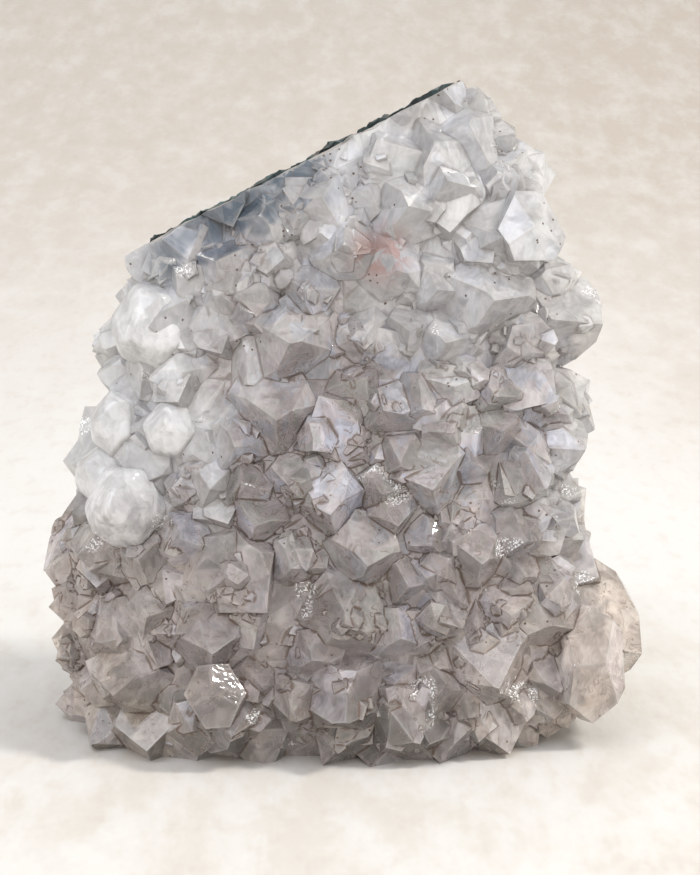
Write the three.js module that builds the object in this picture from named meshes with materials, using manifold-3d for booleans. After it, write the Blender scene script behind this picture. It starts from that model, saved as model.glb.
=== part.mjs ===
// A free-standing piece of an amethyst geode: a crowded mass of quartz crystals grown together on
// massive quartz, backed by a thin rind of dark volcanic rock, with a sawn base and a broken edge that
// slopes up to the right along the top.
// Millimetres. +Z is up, the crystals face -Y, and the origin is on the sawn base under the middle.
import * as THREE from "three";
import { ImprovedNoise } from "three/addons/math/ImprovedNoise.js";
import { mergeVertices } from "three/addons/utils/BufferGeometryUtils.js";
import Module from "manifold-3d";

const wasm = await Module();
wasm.setup();

// ---- Driving dimensions ----
const BODY_TOP_Z = 115; // height of the massive quartz before the sloping edge is taken off
const BELOW_BASE = 2; // what the base cut takes off
// The broken edge that slopes up to the right: a point on it, and its rise and its fall towards the back in degrees.
const SLOPING_EDGE = { x: -36, z: 81.1, rise: 27.4, fallBack: 6 };
const RIND_THICKNESS = 4.2;
const FIT_GAP = 0.3; // between the quartz and the rind
const FRONT_POWER = 2.8; // plan of the front half: 2 is an ellipse, more is squarer
const BACK_POWER = 3;
const BACK_CURVE = 0.35; // how much of its depth the rind's inner face curves forward at the sides
const BROKEN_LUMPS = { height: 0.9, size: 6 }; // on the broken sides and the rough back
// Along the sloping edge: how far each material stands out of it, and its lumps.
const QUARTZ_EDGE = { standsOut: 0, height: 0.5, size: 3.5 };
const RIND_EDGE = { standsOut: 1.2, height: 0.8, size: 4.2 };
const FEATURE_REACH = 0.6; // how far a placed crystal's tip stands out of the body, in widths
const TOLERANCE = { quartz: 0.07, rind: 0.2, sliver: 0.01 }; // how closely the meshes keep to their shapes

// Outline of the body at each height: [z, left x, right x, depth in front, depth behind].
const SECTIONS = [
  [-BELOW_BASE, -41.9, 35.9, 23.4, 22],
  [8, -44.9, 39.9, 26.4, 23],
  [20, -46.9, 40.9, 26.9, 23],
  [35, -45.4, 39.4, 24.9, 22],
  [50, -40.4, 38.9, 21.4, 20.5],
  [65, -36.9, 37.4, 18.4, 18],
  [80, -33.2, 34.4, 15.4, 15.5],
  [95, -33.2, 29.9, 11.4, 13],
  [BODY_TOP_Z, -33.2, 17.4, 7.4, 11],
];

// A quartz point's faces, as angles between the face's normal and the crystal's long axis.
const POINT_FACE = THREE.MathUtils.degToRad(51.8);
const SIDE_FACE = THREE.MathUtils.degToRad(90);

// A crystal's proportions. Each pair is a range to draw from.
const CRYSTAL_LENGTH = 2.1; // in widths
const SIDE_DISTANCE = [0.84, 1.12]; // side faces from the axis, as a share of an even hexagon's
const MAIN_FACE_SET_BACK = [-0.1, 0.03]; // the point's larger faces from the tip, in widths
const MINOR_FACE_SET_BACK = [0, 0.16]; // the three faces between them, in widths

// Crystals that give the cluster its outline and character, each placed by its tip:
// [tip x, tip z, width, lean right, lean up]. A lean is the axis's share in that direction.
const FEATURE_CRYSTALS = [
  [-30.9, 71.6, 13.5, -0.35, 0], // pale, left shoulder
  [-38.5, 58.6, 7.9, -0.6, 0.05], // pale
  [-26.1, 59.9, 9.0, 0.1, -0.25], // pale, round
  [-42.0, 49.2, 12.1, -0.66, 0.1], // pale
  [-34.0, 46.0, 12.1, -0.15, -0.3], // pale
  [-38.1, 71.7, 5.9, -0.8, 0],
  [-40.9, 62.7, 6.9, -0.85, 0.1],
  [-32.8, 64.6, 9.0, -0.2, 0.2],
  [-45.2, 41.2, 11.1, -0.72, 0.2],
  [-44.0, 33.7, 14.5, -0.6, -0.1],
  [-49.4, 22.9, 10.7, -0.88, -0.05], // points left
  [-40.3, 20.9, 10.4, -0.5, 0],
  [-44.5, 10.5, 9.0, -0.8, -0.1],
  [-37.7, 11.7, 14.5, -0.35, -0.1],
  [-31.3, 2.4, 14.5, -0.05, -0.2],
  [-41.6, 1.5, 12.1, -0.45, -0.15],
  [-24.4, 26.4, 9.3, 0, 0.1],
  [-18.0, 32.9, 13.5, 0.1, 0.1], // lens
  [-20.3, 19.5, 11.4, 0.1, -0.1], // blue facet
  [-17.5, 7.3, 14.5, 0.05, -0.15],
  [-12.7, 14.1, 9.0, 0.2, 0.1],
  [-32.6, 34.8, 9.7, -0.1, 0.2],
  [-31.0, 25.2, 9.7, -0.1, 0.1],
  [-26.0, 38.4, 9.3, -0.1, 0.2],
  [-21.9, 46.4, 9.7, 0, 0],
  [-17.0, 52.9, 9.7, -0.1, 0.1],
  [-23.6, 51.7, 8.3, -0.2, 0.1],
  [-10.4, 58.3, 14.9, 0, 0], // big, centre left
  [-7.7, 70.1, 14.5, 0, 0.05], // radiating
  [4.0, 70.4, 9.7, 0.05, 0.1], // blue
  [-2.4, 93.4, 11.4, -0.05, 0.35],
  [4.5, 93.9, 7.6, 0, 0.4],
  [-6.5, 78.4, 10.4, -0.1, 0.2],
  [-20.2, 83.8, 11.4, -0.2, 0.35],
  [-15.3, 74.9, 11.1, -0.1, 0.15],
  [-21.9, 74.8, 8.6, -0.2, 0.1],
  [-26.9, 81.0, 9.3, -0.4, 0.4],
  [-12.9, 90.1, 9.7, -0.1, 0.4],
  [7.3, 58.6, 10.0, -0.1, 0.1],
  [13.3, 59.5, 9.0, 0.1, 0], // blue facet
  [15.3, 46.8, 14.2, 0.05, -0.05], // pale, big
  [21.1, 50.7, 9.0, 0.1, 0.25], // dark window
  [-1.6, 43.1, 12.8, 0, -0.1], // flat lilac
  [4.0, 35.2, 12.4, 0.05, -0.1],
  [14.6, 37.1, 7.9, 0.1, -0.1], // sparkle
  [0.8, 26.5, 14.5, 0, 0.1], // radiating
  [0.8, 9.5, 15.9, 0, -0.2],
  [-4.9, 19.4, 9.3, -0.1, 0],
  [-8.2, 9.2, 10.4, -0.1, -0.3],
  [10.5, 22.8, 10.7, 0.1, 0.1],
  [16.2, 24.9, 9.7, 0.1, 0.1],
  [28.1, 25.8, 10.4, 0.15, 0.1], // blue grey
  [26.8, 14.8, 15.9, 0.25, -0.15], // big smoky
  [21.3, 8.1, 10.0, 0.1, -0.3],
  [14.8, 4.4, 10.4, 0.05, -0.2],
  [9.8, 8.2, 10.7, 0, -0.4],
  [52.1, 16.8, 19.7, 0.76, -0.1], // biggest, lower right
  [36.0, 22.4, 10.4, 0.3, -0.1], // white patch
  [36.3, 29.6, 10.7, 0.4, 0.2],
  [29.1, 86.3, 16.9, 0.25, 0.1], // large pale
  [21.1, 104.2, 11.4, 0.05, 0.45],
  [14.5, 102.0, 12.4, -0.1, 0.45],
  [18.1, 94.9, 12.4, 0, 0.3],
  [26.9, 95.7, 10.7, 0.25, 0.35],
  [32.7, 92.5, 9.3, 0.5, 0.25],
  [23.1, 108.6, 6.6, 0.2, 0.5],
  [28.9, 102.1, 7.6, 0.5, 0.3],
  [10.5, 91.9, 12.4, 0, 0.25], // lilac
  [0.8, 85.6, 11.1, -0.05, 0.25],
  [8.9, 82.0, 11.4, 0.05, 0.15], // reddish
  [16.2, 78.2, 9.3, 0.1, 0.1], // blue facet
  [25.8, 76.1, 14.9, 0.2, 0.1], // dotted smoky
  [36.1, 84.1, 8.6, 0.6, 0.1],
  [39.1, 79.0, 6.9, 0.75, 0.1],
  [44.0, 71.1, 15.2, 0.74, 0], // right, points out
  [31.0, 67.9, 11.1, 0.3, 0],
  [26.0, 60.5, 10.0, 0.1, 0],
  [39.0, 57.7, 6.9, 0.85, 0.1],
  [41.5, 50.4, 11.7, 0.72, 0.05],
  [33.4, 45.9, 13.1, 0.45, -0.05], // specked pale
  [26.9, 54.8, 9.3, 0.2, 0.1],
  [41.3, 41.5, 6.9, 0.8, 0],
  [41.0, 34.5, 9.0, 0.8, 0],
  [31.0, 37.0, 11.1, 0.35, 0],
  [22.7, 34.5, 10.7, 0.15, 0],
  [17.8, 70.3, 10.0, 0.05, 0.1],
  [11.3, 71.9, 8.6, 0, 0.1],
  [17.8, 55.9, 8.6, 0.1, 0.05],
  [9.7, 49.6, 8.6, -0.05, 0],
  [-8.1, 46.7, 9.7, -0.05, 0],
  [-13.8, 41.1, 9.3, -0.05, 0],
  [-7.3, 34.1, 9.7, -0.05, 0],
  [11.3, 30.6, 8.6, 0.05, 0],
  [6.5, 45.1, 9.7, 0, 0],
  [36.7, 10.3, 9.0, 0.5, -0.3],
  [31.6, 5.8, 7.9, 0.4, -0.4],
];

// The crystals that fill the rest of the growing face, the widest first:
// [least width, most width, tries, how close neighbours may stand as a share of their widths].
const FILL_CRYSTALS = [
  [12, 16, 400, 0.27],
  [9, 12, 700, 0.28],
  [6.5, 9, 600, 0.31],
];
const GROWING_FACE = { halfAngle: 90, lowestZ: 0.5 }; // where crystals grow round the body, in degrees
const LEAN_SPREAD = 0.65; // how far a filling crystal's axis strays from straight out
const FILL_REACH = [0.36, 0.56]; // how far a filling crystal's tip stands out of the body, in widths
const MOST_BACKWARD = 0.15; // no filling crystal points further back than this share of its axis

const QUARTZ = new THREE.MeshStandardMaterial({ color: 0xbfb8c2, roughness: 0.12, metalness: 0 });
const ROCK = new THREE.MeshStandardMaterial({ color: 0x414c4c, roughness: 0.9, metalness: 0 });

// ---- A repeatable random stream, so that every build is the same ----
let streamState = 20177;
function random() {
  streamState = (streamState + 0x6d2b79f5) | 0;
  let t = Math.imul(streamState ^ (streamState >>> 15), 1 | streamState);
  t = (t + Math.imul(t ^ (t >>> 7), 61 | t)) ^ t;
  return ((t ^ (t >>> 14)) >>> 0) / 4294967296;
}
const between = (low, high) => low + (high - low) * random();

// ---- Solids in and out of manifold-3d ----
function toSolid(geometry) {
  const bare = geometry.index ? geometry.toNonIndexed() : geometry.clone();
  bare.deleteAttribute("normal");
  bare.deleteAttribute("uv");
  const merged = mergeVertices(bare, 1e-4);
  const mesh = new wasm.Mesh({
    numProp: 3,
    vertProperties: new Float32Array(merged.attributes.position.array),
    triVerts: new Uint32Array(merged.index.array),
  });
  return new wasm.Manifold(mesh);
}

function toGeometry(solid) {
  const mesh = solid.getMesh();
  const positions = new Float32Array(mesh.numVert * 3);
  for (let i = 0; i < mesh.numVert; i++) {
    positions.set(mesh.vertProperties.subarray(i * mesh.numProp, i * mesh.numProp + 3), i * 3);
  }
  const indexed = new THREE.BufferGeometry()
    .setAttribute("position", new THREE.BufferAttribute(positions, 3))
    .setIndex(new THREE.BufferAttribute(mesh.triVerts, 1));
  const flat = indexed.toNonIndexed();
  flat.computeVertexNormals();
  return flat;
}

// The outer surface of the largest piece, which leaves out crumbs and pockets closed in between crystals.
function largestPiece(solid) {
  return solid.decompose().reduce((largest, piece) => (piece.volume() > largest.volume() ? piece : largest));
}

// Keeps what lies on the inner side of a plane, given by its outward normal and a point on it.
function cutFlat(solid, normal, point) {
  return solid.trimByPlane(normal.clone().negate().toArray(), -normal.dot(point));
}

// ---- The body: stacked sections, squarish behind and rounder in front ----
function sectionAt(z) {
  const last = SECTIONS.length - 1;
  const above = SECTIONS.findIndex((section) => section[0] > z);
  const i = above < 0 ? last : Math.max(1, above);
  const share = THREE.MathUtils.clamp((z - SECTIONS[i - 1][0]) / (SECTIONS[i][0] - SECTIONS[i - 1][0]), 0, 1);
  const [, left, right, front, back] = SECTIONS[i].map((v, k) => THREE.MathUtils.lerp(SECTIONS[i - 1][k], v, share));
  return { centre: (left + right) / 2, halfWidth: (right - left) / 2, front, back };
}

const signedPower = (value, power) => Math.sign(value) * Math.abs(value) ** power;

// The point of the body at an angle round it and a height. Angle 0 faces -Y, and a quarter turn faces +X.
function bodyPoint(angle, z) {
  const { centre, halfWidth, front, back } = sectionAt(z);
  const ahead = Math.cos(angle);
  const [depth, power] = ahead > 0 ? [-front, FRONT_POWER] : [-back, BACK_POWER];
  const x = centre + halfWidth * signedPower(Math.sin(angle), 2 / power);
  return new THREE.Vector3(x, depth * signedPower(ahead, 2 / power), z);
}

function bodyNormal(angle, z) {
  const step = 0.02;
  const around = bodyPoint(angle + step, z).sub(bodyPoint(angle - step, z));
  const rise = 2;
  const upwards = bodyPoint(angle, z + rise).sub(bodyPoint(angle, z - rise));
  return around.cross(upwards).normalize();
}

// The front of the body straight behind a point of the outline. Points beyond its sides count as just inside them.
function frontDepth(x, z) {
  const { centre, halfWidth, front } = sectionAt(z);
  const justInside = 0.97;
  const across = Math.min(justInside, Math.abs(x - centre) / halfWidth);
  return -front * (1 - across ** FRONT_POWER) ** (1 / FRONT_POWER);
}

const noise = new ImprovedNoise();
const noiseAt = (point, size) => noise.noise(point.x / size, point.y / size, point.z / size);

// Rounded lumps of about a height and a size, with smaller ones on them.
function lumps(point, { height, size }) {
  const fineness = 2.3;
  const noiseRange = 1.6;
  return height * noiseRange * (noiseAt(point, size) + 0.5 * noiseAt(point, size / fineness));
}

function bodySolid() {
  const around = 48;
  const levels = 18;
  const height = BODY_TOP_Z + BELOW_BASE;
  const geometry = new THREE.CylinderGeometry(1, 1, height, around, levels).rotateX(Math.PI / 2);
  const position = geometry.attributes.position;
  for (let i = 0; i < position.count; i++) {
    const spoke = new THREE.Vector3().fromBufferAttribute(position, i);
    const z = spoke.z + height / 2 - BELOW_BASE;
    const point = new THREE.Vector3(sectionAt(z).centre, 0, z);
    spoke.z = 0;
    if (spoke.length() > 0.5) {
      point.copy(bodyPoint(Math.atan2(spoke.x, -spoke.y), z));
      point.addScaledVector(spoke.normalize(), lumps(point, BROKEN_LUMPS));
    }
    position.setXYZ(i, point.x, point.y, point.z);
  }
  return toSolid(geometry);
}

// A block that fills everything in front of the rind, up to a gap from its curved inner face.
function blockToRind(gap) {
  const middleZ = 60;
  const furthestAcross = 1.15;
  const geometry = new THREE.BoxGeometry(170, 120, 150, 16, 1, 12);
  const position = geometry.attributes.position;
  for (let i = 0; i < position.count; i++) {
    const x = position.getX(i);
    const z = position.getZ(i) + middleZ;
    const { centre, halfWidth, back } = sectionAt(z);
    const across = Math.min(furthestAcross, Math.abs(x - centre) / halfWidth);
    const inner = back - RIND_THICKNESS - BACK_CURVE * back * across ** 2 - gap;
    position.setXYZ(i, x, Math.min(position.getY(i), inner), z);
  }
  return toSolid(geometry);
}

// A block under the sloping edge, with its top broken into lumps.
function blockUnderEdge(edge) {
  const reach = 130;
  const rise = Math.tan(THREE.MathUtils.degToRad(SLOPING_EDGE.rise));
  const fall = Math.tan(THREE.MathUtils.degToRad(SLOPING_EDGE.fallBack));
  const geometry = new THREE.BoxGeometry(150, 100, 2 * reach, 70, 24, 1);
  const position = geometry.attributes.position;
  for (let i = 0; i < position.count; i++) {
    const point = new THREE.Vector3().fromBufferAttribute(position, i);
    if (point.z < 0) continue;
    const height = SLOPING_EDGE.z + (point.x - SLOPING_EDGE.x) * rise - point.y * fall;
    position.setZ(i, height + edge.standsOut + lumps(point.setZ(0), edge));
  }
  return toSolid(geometry);
}

// ---- One crystal: a block cut by its six side faces and the six faces of its point ----
// Three of the point's faces meet at the tip, and the three between them are set back.
function crystal(tip, axis, width) {
  const apothem = width / 2;
  const length = CRYSTAL_LENGTH * width;
  const block = 1.6 * width; // wider than the crystal's corners
  const turn = between(0, 2 * Math.PI);
  const upright = new THREE.Quaternion().setFromUnitVectors(new THREE.Vector3(0, 0, 1), axis);
  const frame = new THREE.Matrix4().compose(tip, upright, new THREE.Vector3(1, 1, 1));
  const uncut = new THREE.BoxGeometry(block, block, length).translate(0, 0, -length / 2);
  let solid = toSolid(uncut.applyMatrix4(frame));
  const cutFace = (angle, tilt, distance) => {
    const normal = new THREE.Vector3(
      Math.sin(tilt) * Math.cos(angle),
      Math.sin(tilt) * Math.sin(angle),
      Math.cos(tilt),
    ).transformDirection(frame);
    solid = cutFlat(solid, normal, tip.clone().addScaledVector(normal, distance));
  };
  for (let i = 0; i < 6; i++) {
    const angle = turn + (i * Math.PI) / 3;
    const setBack = between(...(i % 2 ? MINOR_FACE_SET_BACK : MAIN_FACE_SET_BACK)) * width;
    cutFace(angle, SIDE_FACE, apothem * between(...SIDE_DISTANCE));
    cutFace(angle, POINT_FACE, setBack);
  }
  return solid;
}

// ---- Placing the crystals ----
function featureCrystals() {
  return FEATURE_CRYSTALS.map(([x, z, width, right, up]) => {
    const axis = new THREE.Vector3(right, -Math.sqrt(1 - right ** 2 - up ** 2), up);
    const reach = FEATURE_REACH * width;
    const root = new THREE.Vector3(x - right * reach, 0, z - up * reach);
    root.y = frontDepth(root.x, root.z);
    return { tip: root.addScaledVector(axis, reach), axis, width };
  });
}

function fillingCrystals(placed) {
  for (const [least, most, tries, closeness] of FILL_CRYSTALS) {
    for (let i = 0; i < tries; i++) {
      const width = between(least, most);
      const angle = THREE.MathUtils.degToRad(between(-GROWING_FACE.halfAngle, GROWING_FACE.halfAngle));
      const z = between(GROWING_FACE.lowestZ, BODY_TOP_Z);
      const stray = new THREE.Vector3(between(-1, 1), between(-1, 1), between(-1, 1)).multiplyScalar(LEAN_SPREAD);
      const axis = bodyNormal(angle, z).add(stray).normalize();
      const tip = bodyPoint(angle, z).addScaledVector(axis, width * between(...FILL_REACH));
      const free = placed.every((other) => other.tip.distanceTo(tip) > closeness * (other.width + width));
      if (free && axis.y < MOST_BACKWARD) placed.push({ tip, axis, width });
    }
  }
  return placed;
}

const placedCrystals = fillingCrystals(featureCrystals());
const points = placedCrystals.map(({ tip, axis, width }) => crystal(tip, axis, width));

const sawnAtBase = (solid) => cutFlat(solid, new THREE.Vector3(0, 0, -1), new THREE.Vector3());

const body = bodySolid();
// Simplified before the two are parted, so that the gap between them stays even.
const grown = wasm.Manifold.union([body, ...points]).intersect(blockUnderEdge(QUARTZ_EDGE));
const quartz = sawnAtBase(grown).simplify(TOLERANCE.quartz).intersect(blockToRind(FIT_GAP));
const backing = body.intersect(blockUnderEdge(RIND_EDGE));
const rind = sawnAtBase(backing).simplify(TOLERANCE.rind).subtract(blockToRind(0));

const crystals = new THREE.Mesh(toGeometry(largestPiece(quartz.simplify(TOLERANCE.sliver))), QUARTZ);
crystals.name = "crystals";
const rockRind = new THREE.Mesh(toGeometry(largestPiece(rind.simplify(TOLERANCE.sliver))), ROCK);
rockRind.name = "rock_rind";

const cluster = new THREE.Group();
cluster.add(crystals, rockRind);
export default cluster;
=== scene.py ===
"""Looks for a standing amethyst crystal cluster: its quartz, its rock rind, a pale floor and soft light."""

import logging
import math
import random
from dataclasses import dataclass, field
from enum import Enum

import bmesh
import bpy
from mathutils import Matrix, Quaternion, Vector, noise
from mathutils.bvhtree import BVHTree


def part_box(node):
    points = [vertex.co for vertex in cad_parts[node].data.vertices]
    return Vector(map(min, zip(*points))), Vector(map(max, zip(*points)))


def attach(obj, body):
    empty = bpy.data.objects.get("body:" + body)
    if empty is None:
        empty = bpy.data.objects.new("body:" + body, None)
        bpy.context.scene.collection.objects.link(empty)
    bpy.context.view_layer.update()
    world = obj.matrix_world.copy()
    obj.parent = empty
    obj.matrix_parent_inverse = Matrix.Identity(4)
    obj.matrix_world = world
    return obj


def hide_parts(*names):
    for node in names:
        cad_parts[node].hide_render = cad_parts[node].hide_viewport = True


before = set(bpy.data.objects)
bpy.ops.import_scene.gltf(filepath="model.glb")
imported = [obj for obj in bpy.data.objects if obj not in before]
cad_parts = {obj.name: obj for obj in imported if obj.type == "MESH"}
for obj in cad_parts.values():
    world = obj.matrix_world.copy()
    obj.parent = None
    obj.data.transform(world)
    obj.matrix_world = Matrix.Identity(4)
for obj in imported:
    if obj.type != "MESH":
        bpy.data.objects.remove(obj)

MM = 0.001
ROOT_BODY = "root"
Rgb = tuple[float, float, float]
Socket = bpy.types.NodeSocket
Value = Socket | float

# How a quartz point's faces lean from straight across its long axis, and how many sides it has.
FACE_TILT = math.radians(51.8)
SIDES = 6

# A full turn in radians, for turning things at random.
FULL_TURN = 6.283

# Faces that meet at less than the first angle are made one facet, and facets that meet at less than the
# second have no border between them.
SAME_FACET = math.radians(0.8)
FLAT = math.radians(2)

# Corners closer than this are one corner, on a CAD mesh and after the points are joined on.
CAD_WELD = 0.002 * MM
JOINED_WELD = 0.003 * MM

# Faces closer than this to a worn crystal's skin are part of it, and they share one tone.
SKIN = 0.05 * MM
WORN_TONE = 0.6

# The broken edge along the top: a point on it and how steeply it climbs to the right.
EDGE_LEFT = -36 * MM
EDGE_HEIGHT = 81.1 * MM
EDGE_CLIMB = math.radians(27.4)

log = logging.getLogger("cluster")


class Node(Enum):
    """The CAD nodes that the looks stand for."""

    CRYSTALS = "crystals"
    ROCK_RIND = "rock_rind"


class Growth(Enum):
    """Where a small crystal grows."""

    CREVICE = "out of the valley between two larger faces"
    RIDGE = "across the ridge where two larger faces meet"
    DRUSE = "on a face, pointing outwards at any lean"


class Border(Enum):
    """What lies between two facets."""

    NONE = "nothing, because they lie flat against each other"
    RIDGE = "a ridge"
    VALLEY = "a valley"


# ---- Shader helpers ----


@dataclass
class ShaderGraph:
    """A material's node tree with short ways to add and join nodes.

    Attributes:
        material: the material that holds the nodes.
    """

    material: bpy.types.Material

    @classmethod
    def named(cls, name: str) -> "ShaderGraph":
        """Starts an empty node material.

        Args:
            name: the material's name.

        Returns:
            The graph, with no nodes in it.
        """
        material = bpy.data.materials.new(name)
        material.use_nodes = True
        material.node_tree.nodes.clear()
        return cls(material)

    def add(self, kind: str, inputs: dict | None = None, **settings: object) -> bpy.types.Node:
        """Adds a node.

        Args:
            kind: the node's type name.
            inputs: a value or an output socket for each named or numbered input.
            settings: the node's own settings.

        Returns:
            The node.
        """
        node = self.material.node_tree.nodes.new(kind)
        for key, value in settings.items():
            setattr(node, key, value)
        for key, value in (inputs or {}).items():
            if isinstance(value, Socket):
                self.material.node_tree.links.new(value, node.inputs[key])
            else:
                node.inputs[key].default_value = value
        return node

    def math(self, operation: str, *values: Value) -> Socket:
        """Adds a math node and returns its output."""
        node = self.add("ShaderNodeMath", dict(enumerate(values)), operation=operation)
        return node.outputs[0]

    def times(self, first: Value, *others: Value) -> Socket:
        """Multiplies values, one after another.

        Args:
            first: the first value.
            others: what it is multiplied by.

        Returns:
            The product.
        """
        for other in others:
            first = self.math("MULTIPLY", first, other)
        return first

    def without(self, value: Value, share: float = 1.0) -> Socket:
        """One less a share of a value."""
        return self.math("SUBTRACT", 1.0, self.times(value, share))

    def swing(self, noise_value: Value, reach: float) -> Socket:
        """Turns noise round one half into a swing round nought."""
        return self.times(self.math("SUBTRACT", noise_value, 0.5), reach)

    def steps(
        self, value: Value, low: Value, high: Value, to_low: float = 0.0, to_high: float = 1.0
    ) -> Socket:
        """Maps a value smoothly from one range to another.

        Args:
            value: the value.
            low: where the range starts.
            high: where it ends, which may be below its start.
            to_low: what the start becomes.
            to_high: what the end becomes.

        Returns:
            The mapped value.
        """
        node = self.add(
            "ShaderNodeMapRange",
            {0: value, 1: low, 2: high, 3: to_low, 4: to_high},
            interpolation_type="SMOOTHSTEP",
        )
        return node.outputs[0]

    def blend(self, share: Value, first: object, second: object, mode: str = "MIX") -> Socket:
        """Mixes two colours by the second one's share and returns the output."""
        node = self.add("ShaderNodeMix", {0: share, 6: first, 7: second}, data_type="RGBA", blend_type=mode)
        return node.outputs[2]

    def vector(self, operation: str, *values: object) -> bpy.types.Node:
        """Adds a vector math node and returns it."""
        return self.add("ShaderNodeVectorMath", dict(enumerate(values)), operation=operation)

    def noise(
        self, where: Socket, scale: float, detail: float = 3, roughness: float = 0.5, bend: float = 0.0
    ) -> Socket:
        """Adds noise.

        Args:
            where: the place.
            scale: how fine the noise is.
            detail: how many finer layers it has.
            roughness: how strong they are.
            bend: how far it is distorted.

        Returns:
            The noise, from 0 to 1.
        """
        node = self.add(
            "ShaderNodeTexNoise",
            {"Vector": where, "Scale": scale, "Detail": detail, "Roughness": roughness, "Distortion": bend},
        )
        return node.outputs[0]

    def cells(self, where: Socket, scale: float) -> bpy.types.Node:
        """Adds a pattern of uneven cells and returns its node."""
        return self.add("ShaderNodeTexVoronoi", {"Vector": where, "Scale": scale, "Randomness": 1.0})

    def attribute(self, name: str) -> Socket:
        """Reads a mesh attribute as one number."""
        return self.add("ShaderNodeAttribute", attribute_name=name).outputs["Fac"]

    def finish(self, surface: bpy.types.Node, volume: bpy.types.Node | None = None) -> bpy.types.Material:
        """Joins the shaders to the output.

        Args:
            surface: the surface shader.
            volume: the shader of what is inside, if any.

        Returns:
            The material.
        """
        sockets = {"Surface": surface.outputs[0]}
        if volume is not None:
            sockets["Volume"] = volume.outputs[0]
        self.add("ShaderNodeOutputMaterial", sockets)
        return self.material


def rgba(colour: Rgb) -> tuple[float, float, float, float]:
    """The colour with full opacity."""
    return (*colour, 1.0)


# ---- Finishes ----


@dataclass(frozen=True)
class QuartzPlace:
    """What the quartz shader knows about a place on the surface.

    Attributes:
        at: the place itself.
        x: how far right it is.
        z: how high it is.
        across: how far right it is, give or take a slow drift.
        height: how high it is, give or take the same drift.
        clouds: soft patches.
        fine: finer patches.
        gate: broad patches that choose where marks appear.
        broken: patches that break lines up.
        facet: a random number for each facet, from 0 to 1.
        worn: 1 on a worn crystal and 0 elsewhere.
    """

    at: Socket
    x: Socket
    z: Socket
    across: Socket
    height: Socket
    clouds: Socket
    fine: Socket
    gate: Socket
    broken: Socket
    facet: Socket
    worn: Socket


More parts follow.
